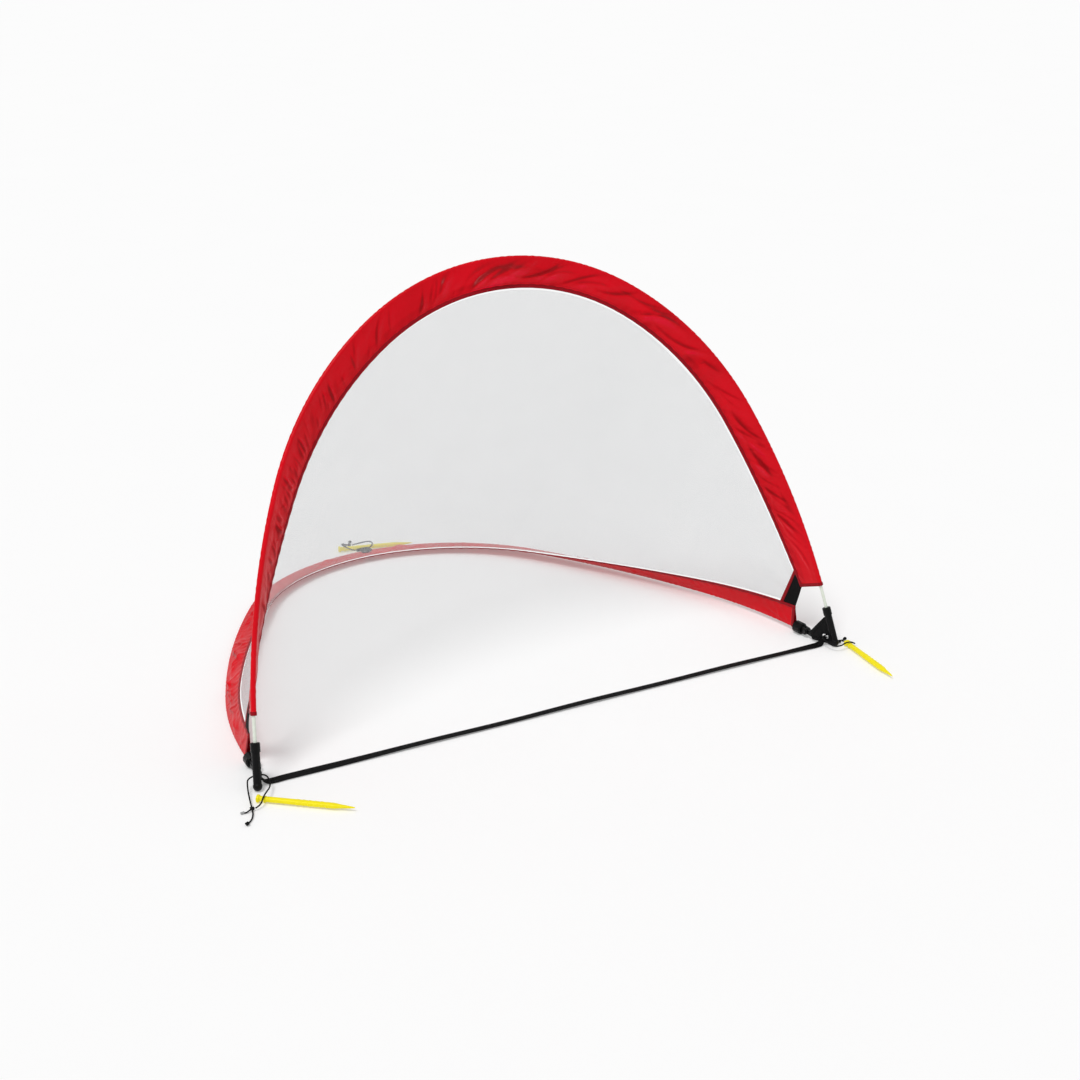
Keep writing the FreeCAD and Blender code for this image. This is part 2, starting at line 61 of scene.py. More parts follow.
# Each bow is a sprung rod: a straight lead, then bends of (degrees, radius), then one arc to
# the crown. Its fabric turns about the rod by twist[0] + twist[1] u + twist[2] u^2 degrees,
# with u 0 at the crown and 1 at the feet.
ARCH = dict(foot_x=0.600, start=0.014, lead=0.084, toe=6.4,
            bends=((17.5, 1.363), (32.8, 0.596)), twist=(0.0, 0.0, 98.0), side=-1,
            pitch=math.pi / 2 - LEAN, origin=(0, FOOT_Y, 0))
HOOP = dict(foot_x=0.579, start=0.015, lead=0.029, toe=3.6,
            bends=((16.2, 0.855), (14.2, 1.760)), twist=(9.0, -10.0, 90.0), side=1,
            pitch=HOOP_PITCH, origin=HINGE)

ARCH_WIDTH, HOOP_WIDTH = 0.047, 0.037       # sleeve, from the rod to the seam
ARCH_INSET, HOOP_INSET = 0.111, 0.0195      # rod left bare at each end of the sleeve
TUNNEL_R = 0.0047                           # where the sleeve wraps the rod
WITH_ROD = 0.009                            # fabric this near a bow's plane would turn with it; not applied
BOUND, LIP = 0.0070, 0.0011                 # tape round a sleeve's mouth, and its raised lip
SEAM_HALF = 0.0008                          # half the thickness of the two plies at the seam
SEAM_ROW = 0.0032                           # stitches, in from the seam
STITCH = 0.0032                             # pitch of the stitches
TAPE_WIDTH = 0.0072
NET_START = 0.0045                          # the net's edge, past the seam and in the tape
SELVEDGE = 0.0076
HELD = 0.0055                               # the strip along the net's edge that lies flat
NET_SAG = 0.034
BAND_START = 0.003                          # ends of the corner bands, past the seam
ELASTIC_WIDTH = 0.032
CORNER_TAPE = (0.0332, 0.0402)              # where the corner's red tape runs, in from the mouth
TAB_EYE = 0.0038                            # middle of the rear tab's eye, in from its end

random = np.random.default_rng(7)


# ---------------------------------------------------------------- camera
def camera():
    """Long lens at the height of a standing adult, looking at the mouth from its left."""
    azimuth, elevation, roll = math.radians(29.87), math.radians(20.72), 0.00672
    ahead = Vector((math.sin(azimuth) * math.cos(elevation),
                    math.cos(azimuth) * math.cos(elevation), -math.sin(elevation)))
    level = Vector((math.cos(azimuth), -math.sin(azimuth), 0))
    rise = level.cross(ahead)
    right = level * math.cos(roll) + rise * math.sin(roll)
    up = rise * math.cos(roll) - level * math.sin(roll)
    place = Vector((0, FOOT_Y, 0.36)) - ahead * 3.0601 - right * 0.0603 - up * 0.0259
    data = bpy.data.cameras.new("camera")
    data.sensor_width = 36
    data.lens = 59.04
    data.clip_start = 0.05
    cam = bpy.data.objects.new("camera", data)
    bpy.context.collection.objects.link(cam)
    cam.matrix_world = Matrix((
        (right.x, up.x, -ahead.x, place.x), (right.y, up.y, -ahead.y, place.y),
        (right.z, up.z, -ahead.z, place.z), (0, 0, 0, 1)))
    bpy.context.scene.camera = cam


camera()


# ---------------------------------------------------------------- shading
def shader(name, base, rough, **sockets):
    """A material with its output and principled shader, and its node tree to add to."""
    mat = bpy.data.materials.new(name)
    mat.use_nodes = True
    tree = mat.node_tree
    surface = tree.nodes["Principled BSDF"]
    surface.inputs["Base Color"].default_value = (*base, 1)
    surface.inputs["Roughness"].default_value = rough
    for key, value in sockets.items():
        surface.inputs[key.replace("_", " ")].default_value = value
    return mat, tree, surface


def node(tree, kind, **values):
    made = tree.nodes.new("ShaderNode" + kind)
    for key, value in values.items():
        if hasattr(made, key):
            setattr(made, key, value)
        else:
            made.inputs[key.replace("_", " ")].default_value = value
    return made


def coords(tree, space):
    return tree.nodes.new("ShaderNodeTexCoord").outputs[space]


def feed(tree, socket, value):
    """Links another node's output to a socket, or sets a number or a shade on it."""
    if isinstance(value, bpy.types.NodeSocket):
        tree.links.new(value, socket)
    elif isinstance(value, tuple):
        socket.default_value = (*value, 1)
    else:
        socket.default_value = value


def maths(tree, operation, a, b=None):
    made = node(tree, "Math", operation=operation)
    feed(tree, made.inputs[0], a)
    if b is not None:
        feed(tree, made.inputs[1], b)
    return made.outputs[0]


def mixed(tree, factor, first, second, **values):
    """Colour that runs from one shade or socket to another."""
    mix = node(tree, "Mix", data_type="RGBA", **values)
    feed(tree, mix.inputs["Factor"], factor)
    colours = [socket for socket in mix.inputs if socket.type == "RGBA"]
    feed(tree, colours[0], first)
    feed(tree, colours[1], second)
    return next(socket for socket in mix.outputs if socket.type == "RGBA")


def noise(tree, vector, scale, detail=3.0):
    made = node(tree, "TexNoise", Scale=scale, Detail=detail)
    tree.links.new(vector, made.inputs["Vector"])
    return made.outputs["Fac"]


def ripple(tree, vector, pitch, axis="X", rough=0.0):
    """Wave from 0 to 1 with the given pitch along one axis of the coordinates."""
    made = node(tree, "TexWave", wave_type="BANDS", bands_direction=axis,
                Scale=2 * math.pi / (20 * pitch), Distortion=rough)
    tree.links.new(vector, made.inputs["Vector"])
    return made.outputs["Fac"]


def vary(tree, surface, fac, dark, light):
    """Base colour that runs between two shades."""
    out = mixed(tree, fac, dark, light)
    tree.links.new(out, surface.inputs["Base Color"])
    return out


def emboss(tree, surface, height, depth, strength=1.0, normal=None):
    bump = node(tree, "Bump", Strength=strength, Distance=depth)
    tree.links.new(height, bump.inputs["Height"])
    if normal is not None:
        tree.links.new(normal, bump.inputs["Normal"])
    tree.links.new(bump.outputs["Normal"], surface.inputs["Normal"])
    return bump.outputs["Normal"]


def stitch_line(tree, vector, at, pitch):
    """1 on the dashes of a row of stitches that runs along U at one distance in V."""
    split = node(tree, "SeparateXYZ")
    tree.links.new(vector, split.inputs[0])
    half_thread, stitched = 0.0005, 0.72
    away = maths(tree, "ABSOLUTE", maths(tree, "SUBTRACT", split.outputs["Y"], at))
    on_row = maths(tree, "LESS_THAN", away, half_thread)
    phase = maths(tree, "FRACT", maths(tree, "DIVIDE", split.outputs["X"], pitch))
    return maths(tree, "MULTIPLY", on_row, maths(tree, "LESS_THAN", phase, stitched))


def woven(name, dark, light, rough, pitch, rows=(), thread=None, depth=0.00012, show=0.35,
          **sockets):
    """Plain weave in the piece's own metres: U along it and V across it."""
    mat, tree, surface = shader(name, light, rough, **sockets)
    uv = coords(tree, "UV")
    weave = maths(tree, "MULTIPLY", ripple(tree, uv, pitch, "X"), ripple(tree, uv, pitch, "Y"))
    cloud = noise(tree, coords(tree, "Object"), 9.0, 5.0)
    tone = maths(tree, "ADD", maths(tree, "MULTIPLY", cloud, 0.75),
                 maths(tree, "MULTIPLY", weave, show))
    shade = vary(tree, surface, tone, dark, light)
    height = weave
    for at in rows:
        dashes = stitch_line(tree, uv, at, STITCH)
        height = maths(tree, "ADD", height, maths(tree, "MULTIPLY", dashes, 2.0))
        shade = mixed(tree, dashes, shade, thread)
        tree.links.new(shade, surface.inputs["Base Color"])
    emboss(tree, surface, height, depth)
    return mat


def sleeve_material(name, seam):
    """Light polyester, with painted shade in the creases and a painted highlight on the folds.
    """
    mat = woven(name, (0.50, 0.000, 0.004), (0.86, 0.000, 0.012), 0.36, 0.0006, rows=(seam,),
                thread=(0.46, 0.0, 0.010), depth=0.00003, show=0.12,
                Specular_IOR_Level=0.13)
    tree = mat.node_tree
    surface = tree.nodes["Principled BSDF"]
    plain = surface.inputs["Base Color"].links[0].from_socket
    # Painted shade and highlight: the fold attribute multiplies the red darker in creases, paler
    # on crests.
    fold = node(tree, "Attribute", attribute_name="fold").outputs["Fac"]
    ramp = node(tree, "ValToRGB")
    stops = ramp.color_ramp.elements
    stops[0].position, stops[0].color = 0.0, (0.42, 0.30, 0.34, 1)
    stops[1].position, stops[1].color = 1.0, (1.22, 9.0, 3.0, 1)
    stops.new(0.5).color = (0.98, 1.0, 1.0, 1)
    stops.new(0.72).color = (1.08, 2.0, 1.3, 1)
    tree.links.new(fold, ramp.inputs[0])
    out = mixed(tree, 1.0, plain, ramp.outputs["Color"], blend_type="MULTIPLY")
    tree.links.new(out, surface.inputs["Base Color"])
    return mat


def moulded(name, dark, light, rough, bevel=0.0006, grain=900.0, **sockets):
    """Moulded plastic with broken edges, a fine grain and faint scuffs."""
    mat, tree, surface = shader(name, light, rough, **sockets)
    place = coords(tree, "Object")
    vary(tree, surface, noise(tree, place, 60.0, 6.0), dark, light)
    edge = node(tree, "Bevel", Radius=bevel)
    edge.samples = 6
    emboss(tree, surface, noise(tree, place, grain, 2.0), 0.00008, 0.6,
           edge.outputs["Normal"])
    scuff = node(tree, "MapRange", From_Min=0.35, From_Max=0.75, To_Min=rough - 0.06,
                 To_Max=rough + 0.14)
    tree.links.new(noise(tree, place, 140.0, 8.0), scuff.inputs["Value"])
    tree.links.new(scuff.outputs["Result"], surface.inputs["Roughness"])
    return mat


def net_material():
    """Fine knitted mesh: small rounded holes in staggered rows between white yarns."""
    mat, tree, surface = shader("white_mesh", (0.60, 0.62, 0.64), 0.7,
                                Specular_IOR_Level=0.2)
    uv = coords(tree, "UV")
    split = node(tree, "SeparateXYZ")
    tree.links.new(uv, split.inputs[0])
    pitch, stretch, covered = 0.0016, 1.3, 0.62

    def wave(distance, length, shift):
        turns = maths(tree, "ADD", maths(tree, "DIVIDE", distance, length), shift)
        return maths(tree, "ABSOLUTE",
                     maths(tree, "COSINE", maths(tree, "MULTIPLY", turns, math.pi)))

    def hole(shift):
        return maths(tree, "MULTIPLY", wave(split.outputs["X"], pitch, shift),
                     wave(split.outputs["Y"], pitch * stretch, shift))

    openness = maths(tree, "MAXIMUM", hole(0.0), hole(0.5))
    hem = node(tree, "Attribute", attribute_name="hem").outputs["Fac"]
    yarn = maths(tree, "LESS_THAN", openness, maths(tree, "ADD", hem, covered))
    cloud = maths(tree, "MULTIPLY", noise(tree, coords(tree, "Object"), 14.0, 4.0), 0.3)
    vary(tree, surface, maths(tree, "MAXIMUM", hem, cloud), (0.64, 0.66, 0.67),
         (0.92, 0.93, 0.93))
    # Painted light: along the selvedge an emission, mixed in by the hem mask, makes the white
    # edge glow.
    clear = node(tree, "BsdfTransparent")
    glow = node(tree, "Emission", Strength=1.0)
    white = node(tree, "MixShader")
    tree.links.new(maths(tree, "MULTIPLY", hem, 0.9), white.inputs[0])
    tree.links.new(surface.outputs[0], white.inputs[1])
    tree.links.new(glow.outputs[0], white.inputs[2])
    blend = node(tree, "MixShader")
    tree.links.new(yarn, blend.inputs[0])
    tree.links.new(clear.outputs[0], blend.inputs[1])
    tree.links.new(white.outputs[0], blend.inputs[2])
    tree.links.new(blend.outputs[0], tree.nodes["Material Output"].inputs["Surface"])
    emboss(tree, surface, openness, 0.0002)
    return mat


def cord_material(name, dark, light):
    """Braided cord: crossing diagonal strands."""
    mat, tree, surface = shader(name, light, 0.7, Specular_IOR_Level=0.12)
    place = coords(tree, "Object")
    strands = ripple(tree, place, 0.0011, "DIAGONAL", 1.5)
    vary(tree, surface, strands, dark, light)
    emboss(tree, surface, strands, 0.0002)
    return mat


def steel_material():
    mat, tree, surface = shader("rivet_steel", (0.030, 0.030, 0.031), 0.38, Metallic=1.0)
    emboss(tree, surface, noise(tree, coords(tree, "Object"), 500.0, 4.0), 0.00005)
    return mat


def rod_material():
    """Pale pultruded fibreglass, its colour mottled by fine noise."""
    mat, tree, surface = shader("fibreglass_rod", (0.72, 0.78, 0.68), 0.28)
    vary(tree, surface, noise(tree, coords(tree, "Object"), 220.0, 6.0),
         (0.66, 0.72, 0.62), (0.80, 0.85, 0.76))
    return mat


RED = sleeve_material("red_sleeve_fabric", ARCH_WIDTH - SEAM_ROW)
RED_LOW = sleeve_material("red_sleeve_fabric_low", HOOP_WIDTH - SEAM_ROW)
BINDING = woven("red_bias_tape", (0.22, 0.0, 0.004), (0.34, 0.0, 0.007), 0.5, 0.0007,
                rows=(0.0016,), thread=(0.42, 0.0, 0.010), Specular_IOR_Level=0.15)
NET = net_material()
WEBBING = woven("black_webbing", (0.0015, 0.0015, 0.0015), (0.007, 0.007, 0.0075), 0.7, 0.0014,
                rows=(-0.0085, 0.0085), thread=(0.014, 0.014, 0.015), depth=0.0003,
                Specular_IOR_Level=0.10)
ELASTIC = woven("black_elastic", (0.002, 0.002, 0.002), (0.009, 0.009, 0.010), 0.75, 0.0011,
                depth=0.0003, Specular_IOR_Level=0.10)
PLASTIC = moulded("black_plastic", (0.0015, 0.0015, 0.0017), (0.005, 0.005, 0.0055), 0.36,
                  Specular_IOR_Level=0.16)
YELLOW = moulded("yellow_plastic", (0.88, 0.74, 0.000), (0.96, 0.85, 0.002), 0.38,
                 Specular_IOR_Level=0.30)
STEEL = steel_material()
ROD = rod_material()
CORD = cord_material("black_cord", (0.002, 0.002, 0.002), (0.012, 0.012, 0.013))
CORD_END = cord_material("black_cord_end", (0.30, 0.31, 0.31), (0.46, 0.47, 0.47))


# ---------------------------------------------------------------- meshes
def make(name, points, faces, material, uvs=None):
    """A smooth-shaded piece from points, faces and optional UVs per point."""
    mesh = bpy.data.meshes.new(name)
    mesh.from_pydata([tuple(p) for p in points], [], faces)
    if uvs is not None:
        layer = mesh.uv_layers.new(name="UVMap")
        corner = np.zeros(len(mesh.loops), np.int32)
        mesh.loops.foreach_get("vertex_index", corner)
        layer.data.foreach_set("uv", np.asarray(uvs, np.float32)[corner].ravel())
    mesh.polygons.foreach_set("use_smooth", [True] * len(mesh.polygons))
    mesh.materials.append(material)
    obj = bpy.data.objects.new(name, mesh)
    bpy.context.collection.objects.link(obj)
    return obj


def loft(name, rings, material, uvs=None):
    """A closed skin through equal rings of points, with its ends capped."""
    count, size = len(rings), len(rings[0])
    faces = []
    for i in range(count - 1):
        for j in range(size):
            k = (j + 1) % size
            faces.append((i * size + j, i * size + k, (i + 1) * size + k, (i + 1) * size + j))
    faces.append(tuple(reversed(range(size))))
    faces.append(tuple((count - 1) * size + j for j in range(size)))
    points = np.asarray(rings, float).reshape(-1, 3)
    flat = None if uvs is None else np.asarray(uvs, float).reshape(-1, 2)
    obj = make(name, points, faces, material, flat)
    outward(obj)
    return obj


def outward(obj):
    """Turns a closed skin inside out if its volume comes out negative."""
    mesh = obj.data
    mesh.calc_loop_triangles()
    points = np.zeros(len(mesh.vertices) * 3)
    mesh.vertices.foreach_get("co", points)
    corners = np.zeros(len(mesh.loop_triangles) * 3, np.int32)
    mesh.loop_triangles.foreach_get("vertices", corners)
    a, b, c = points.reshape(-1, 3)[corners.reshape(-1, 3)].transpose(1, 0, 2)
    if np.einsum("ij,ij->i", a, np.cross(b, c)).sum() < 0:
        mesh.flip_normals()


# ---------------------------------------------------------------- the two bows
class Bow:
    """A sprung rod's centre line, right to left, and the way its fabric leaves it."""

    def __init__(self, foot_x, start, lead, toe, bends, twist, side, pitch, origin):
        step = 0.0004
        heading = math.radians(toe)
        x, y = foot_x - math.sin(heading) * start, math.cos(heading) * start
        pieces = [(0.0, lead - start)]
        pieces += [(1 / radius, math.radians(angle) * radius) for angle, radius in bends]
        xs, ys, hs = [x], [y], [heading]
        for curvature, length in pieces:
            x, y, heading = self.march(xs, ys, hs, x, y, heading, curvature, length, step)
        crown = x / math.cos(heading)
        self.march(xs, ys, hs, x, y, heading, 1 / crown, crown * (math.pi / 2 - heading), step)
        xs, ys, hs = np.array(xs), np.array(ys), np.array(hs)
        self.x = np.concatenate([xs, -xs[-2::-1]])
        self.y = np.concatenate([ys, ys[-2::-1]])
        self.h = np.concatenate([hs, math.pi - hs[-2::-1]])
        gaps = np.hypot(np.diff(self.x), np.diff(self.y))
        self.s = np.concatenate([[0], np.cumsum(gaps)])
        self.length = self.s[-1]
        self.twist, self.side = twist, side
        c, s = math.cos(pitch), math.sin(pitch)
        self.turn = np.array([[1, 0, 0], [0, c, -s], [0, s, c]])
        self.origin = np.array(origin)

    @staticmethod
    def march(xs, ys, hs, x, y, heading, curvature, length, step):
        count = max(2, int(length / step))
        ds = length / count
        for _ in range(count):
            middle = heading + curvature * ds / 2
            x -= math.sin(middle) * ds
            y += math.cos(middle) * ds
            heading += curvature * ds
            xs.append(x)
            ys.append(y)
            hs.append(heading)
        return x, y, heading

    def frames(self, s):
        """Rod point, tangent, fabric direction and across direction at each length s."""
        s = np.asarray(s, float)
        zero = np.zeros_like(s)
        h = np.interp(s, self.s, self.h)
        point = np.stack([np.interp(s, self.s, self.x), np.interp(s, self.s, self.y), zero], -1)
        tangent = np.stack([-np.sin(h), np.cos(h), zero], -1)
        inward = np.stack([-np.cos(h), -np.sin(h), zero], -1)
        u = np.abs(2 * s / self.length - 1)
        angle = self.side * np.radians(self.twist[0] + self.twist[1] * u
                                       + self.twist[2] * u * u)
        out = inward * np.cos(angle)[:, None]
        out[:, 2] += np.sin(angle)
        across = np.cross(tangent, out)
        return (point @ self.turn.T + self.origin, tangent @ self.turn.T,
                out @ self.turn.T, across @ self.turn.T)


arch = Bow(**ARCH)
hoop = Bow(**HOOP)


def across_fold(obj):
    """Bakes the transform and weighs each point by how near it lies to the hoop, weights unused.
    """
    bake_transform(obj)
    co = np.zeros(len(obj.data.vertices) * 3, np.float32)
    obj.data.vertices.foreach_get("co", co)
    y, z = co[1::3] - HINGE[1], co[2::3] - HINGE[2]
    reach = np.maximum(np.hypot(y, z), 1e-6)
    plane = math.pi / 2 - LEAN
    set_back = (HINGE[1] - FOOT_Y) * math.cos(LEAN) - HINGE[2] * math.sin(LEAN)
    limit = plane + np.arcsin(np.clip((set_back - WITH_ROD) / reach, 0, 1))
    low = HOOP_PITCH + np.arcsin(np.clip(WITH_ROD / reach, 0, 0.5))
    angle = np.arctan2(z, y)
    weight = np.clip(1 - (angle - low) / (limit - low), 0, 1)
    weight[angle < -math.pi / 2] = 0
    return obj


# ---------------------------------------------------------------- sleeves
class Folds:
    """Soft folds over a strip of fabric, each with one gentle flank and one steep flank."""

    def __init__(self, bow, width):
        self.items = []
        self.length, self.width = bow.length, width

    def add(self, first, last, every, angle, reach, thick, high, over=(0.1, 0.95)):
        """Folds from one length to another, at about the given angle to the rod."""
        for _ in range(max(1, int(abs(last - first) / every))):
            s = random.uniform(first, last)
            slant = math.radians(angle[0] + (angle[1] - angle[0]) * random.random())
            self.items.append((s, random.uniform(*over) * self.width, slant,
                               random.uniform(*reach), random.uniform(*thick),
                               random.uniform(*high), random.uniform(-5, 5)))
        return self

    def __call__(self, s, x):
        total = np.zeros(np.broadcast(s, x).shape)
        for at, over, slant, long, wide, high, curve in self.items:
            rows = np.abs(s[:, 0] - at) < 2.2 * long + 4 * wide
            ds, dx = s[rows] - at, x - over
            along = ds * math.cos(slant) + dx * math.sin(slant)
            off = dx * math.cos(slant) - ds * math.sin(slant) + curve * along ** 2
            flank = np.where(off > 0, 2.1 * wide, 0.75 * wide)
            total[rows] += high * np.exp(-np.abs(along / long) ** 2.6 - (off / flank) ** 2)
        return total


def arch_folds():
    """Sweeping folds over the crown and right of it, short ones down both shoulders."""
    crown = arch.length / 2
    front, back, both = (Folds(arch, ARCH_WIDTH) for _ in range(3))
    front.add(crown - 0.44, crown + 0.10, 0.030, (14, 27), (0.040, 0.080), (0.0042, 0.0078),
              (0.0028, 0.0052), (0.25, 0.75))
    front.add(crown + 0.06, crown + 0.36, 0.024, (26, 58), (0.014, 0.038), (0.0028, 0.0052),
              (0.0016, 0.0034))
    front.add(crown + 0.34, crown + 0.82, 0.012, (48, 70), (0.010, 0.024), (0.0022, 0.0038),
              (0.0014, 0.0030), (0.35, 0.85))
    front.add(0.10, crown - 0.44, 0.024, (12, 45), (0.020, 0.052), (0.0030, 0.0060),
              (0.0014, 0.0034), (0.2, 0.85))
    front.add(0.0, arch.length, 0.020, (-60, 80), (0.004, 0.012), (0.0012, 0.0024),
              (0.0003, 0.0009))
    back.add(0.0, arch.length, 0.024, (-60, 70), (0.012, 0.040), (0.0028, 0.0060),
             (0.0012, 0.0030), (0.2, 0.8))
    both.add(0.0, arch.length, 0.060, (10, 60), (0.025, 0.060), (0.0060, 0.0110),
             (-0.0034, 0.0034), (0.2, 0.8))
    return front, back, both


def hoop_folds():
    """Shallower folds, mostly slanting off the outer edge."""
    front, back, both = (Folds(hoop, HOOP_WIDTH) for _ in range(3))
    front.add(0.0, hoop.length, 0.026, (-38, 50), (0.018, 0.050), (0.0028, 0.0056),
              (0.0014, 0.0034), (0.2, 0.8))
    front.add(0.0, hoop.length, 0.020, (-70, 70), (0.005, 0.014), (0.0014, 0.0028),
              (0.0003, 0.0010))
    back.add(0.0, hoop.length, 0.040, (-70, 70), (0.010, 0.030), (0.0024, 0.0050),
             (0.0004, 0.0012), (0.2, 0.8))
    both.add(0.0, hoop.length, 0.070, (-50, 50), (0.020, 0.050), (0.0060, 0.0100),
             (-0.0006, 0.0010), (0.2, 0.8))
    return front, back, both


def hem_steps(bow, inset):
    """Lengths along a sleeve, close together at its hems, and how far in from an end each is."""
    roll = np.array([0, 0.0003, 0.0008, 0.0016, 0.0028, 0.0042, 0.0056, 0.0066, 0.0072,
                     0.0075])
    whole = bow.length - 2 * inset
    inner = whole - 2 * roll[-1]
    middle = np.linspace(0, inner, int(inner / 0.0016))[1:-1] + roll[-1]
    along = np.concatenate([roll, middle, whole - roll[::-1]])
    return inset + along, np.minimum(along, along[::-1])


def sleeve(name, bow, inset, width, material, folds, fade, painted_shade_strength):
    """Two plies folded round the rod and drawn flat to the seam, creased by the bend."""
    front, back, both = folds
    s, hem = hem_steps(bow, inset)
    point, tangent, out, across = bow.frames(s)
    ply, wrap = 25, 9           # points across each ply, and round the rod between them
    share = np.linspace(1, 0, ply)[None, :]
    x = share * width
    bend = np.linspace(math.pi / 2, 3 * math.pi / 2, wrap + 2)[1:-1]
    # The hem's rounded lip, the gathers over the rod and the puckers along the seam.
    lip = LIP * np.clip(1 - ((hem - 0.0036) / 0.0037) ** 2, 0, 1) ** 0.5
    ruck = 0.00030 * np.sin(s / 0.0021 + 2.5 * np.sin(s / 0.031)) * np.sin(s / 0.017) ** 2
    pucker = 0.0005 * np.sin(s / 0.0034 + 1.7 * np.sin(s / 0.045))
    # No creases at the hem, and fewer beside the rod and the seam.
    settle = np.clip((hem - 0.008) / 0.020, 0, 1)
    calm = np.clip(share * 3.2, 0, 1) * np.clip((1 - share) * fade, 0, 1) * settle[:, None]
    sway = both(s[:, None], x) * calm
    rings = np.zeros((len(s), 2 * ply + wrap, 3))
    uvs = np.zeros((len(s), 2 * ply + wrap, 2))
    # Painted fold shade and highlight per point; 0.5 leaves the red unchanged.
    painted_fold_shade = np.full((len(s), 2 * ply + wrap), 0.5)
    for side, creases in ((1, front), (-1, back)):
        rise = TUNNEL_R * (1 - share) ** 1.05 + SEAM_HALF * share
        rise = rise + creases(s[:, None], x) * calm + lip[:, None]
        rise = rise + pucker[:, None] * side * np.clip((share - 0.55) * 2.2, 0, 1) \
            * np.clip((1 - share) * 8, 0.25, 1) * settle[:, None]
        rise = rise + ruck[:, None] * np.clip(1 - share * 3, 0, 1)
        rise = np.maximum(rise, SEAM_HALF * 0.9)
        strip = point[:, None] + out[:, None] * x[..., None] \
            + across[:, None] * (side * rise + sway)[..., None]
        columns = slice(0, ply) if side > 0 else slice(ply + wrap, 2 * ply + wrap)
        order = slice(None) if side > 0 else slice(None, None, -1)
        rings[:, columns] = strip[:, order]
        uvs[:, columns, 0] = s[:, None]
        uvs[:, columns, 1] = x[:, order]
        # Painted shade and highlight: the ply's slope, as if lit from one side, darkens one
        # flank of each fold and pales the other.
        high = side * rise + sway
        slope = np.gradient(high, axis=1) / (width / (ply - 1)) \
            + 0.6 * np.gradient(high, axis=0) / np.gradient(s)[:, None]
        tone = 0.5 + painted_shade_strength * (slope - slope.mean(axis=0)) * side
        painted_fold_shade[:, columns] = np.clip(tone, 0, 1)[:, order]
    radius = TUNNEL_R + lip[:, None] + ruck[:, None]
    round_out = np.cos(bend)[None, :] * radius
    round_up = np.sin(bend)[None, :] * radius
    rings[:, ply:ply + wrap] = point[:, None] + out[:, None] * round_out[..., None] \
        + across[:, None] * round_up[..., None]
    uvs[:, ply:ply + wrap, 0] = s[:, None]
    uvs[:, ply:ply + wrap, 1] = np.linspace(0, -0.012, wrap)[None, :]
    rings, uvs = mouth(rings, uvs, tangent)
    obj = loft(name, rings, material, uvs)
    # The painted fold shade and highlight are stored in the fold attribute.
    painted_fold_shade = np.concatenate([painted_fold_shade[:1], painted_fold_shade[:1], painted_fold_shade, painted_fold_shade[-1:], painted_fold_shade[-1:]])
    obj.data.attributes.new("fold", "FLOAT", "POINT").data.foreach_set(
        "value", painted_fold_shade.astype(np.float32).ravel())
    obj.data.materials.append(BINDING)
    size = rings.shape[1]
    bound = np.concatenate([[1, 1], hem[:-1] < BOUND, [1, 1]])
    index = np.concatenate([np.repeat(bound, size), [1, 1]]).astype(np.int32)
    obj.data.polygons.foreach_set("material_index", index[:len(obj.data.polygons)])
    return obj


def mouth(rings, uvs, tangent):
    """Opens both ends of a sleeve: the skin turns in over its hem and runs back inside."""
    first, last = [], []
    for end, direction, store in ((0, 1, first), (-1, -1, last)):
        middle = rings[end].mean(axis=0)
        axis = tangent[end] * direction
        for depth, shrink in ((0.0, 0.90), (0.006, 0.84)):
            ring = middle + (rings[end] - middle) * shrink + axis * depth
            store.append(ring)
    rings = np.concatenate([first[::-1], rings, last])
    uvs = np.concatenate([uvs[:1], uvs[:1], uvs, uvs[-1:], uvs[-1:]])
    return rings, uvs


def binding(name, bow, inset, width):
    """Bias tape folded over the raw edge where the net meets the sleeve."""
    count = int((bow.length - 2 * inset) / 0.003)
    s = np.linspace(inset, bow.length - inset, count + 1)
    point, _, out, across = bow.frames(s)
    angles = np.linspace(0, 2 * math.pi, 20, endpoint=False)
    wave = 0.00035 * np.sin(s / 0.0037 + 2 * np.sin(s / 0.05))
    pinch = 0.00012 * np.cos(s * 2 * math.pi / 0.0064)
    x = np.sign(np.cos(angles)) * np.abs(np.cos(angles)) ** 0.45
    z = np.sign(np.sin(angles)) * np.abs(np.sin(angles)) ** 0.6
    mid = width - 0.001 + TAPE_WIDTH / 2
    span = mid + x[None, :] * TAPE_WIDTH / 2
    lift = z[None, :] * (0.00135 + pinch[:, None]) + wave[:, None]
    rings = point[:, None] + out[:, None] * span[..., None] + across[:, None] * lift[..., None]
    uvs = np.stack(np.broadcast_arrays(s[:, None], x[None, :] * TAPE_WIDTH / 2), -1)
    return loft(name, rings, BINDING, uvs)


def seam_points(bow, s, reach):
    """Points beside the rod at each length s, the given distance out along the fabric."""
    point, _, out, _ = bow.frames(s)
    return point + out * reach


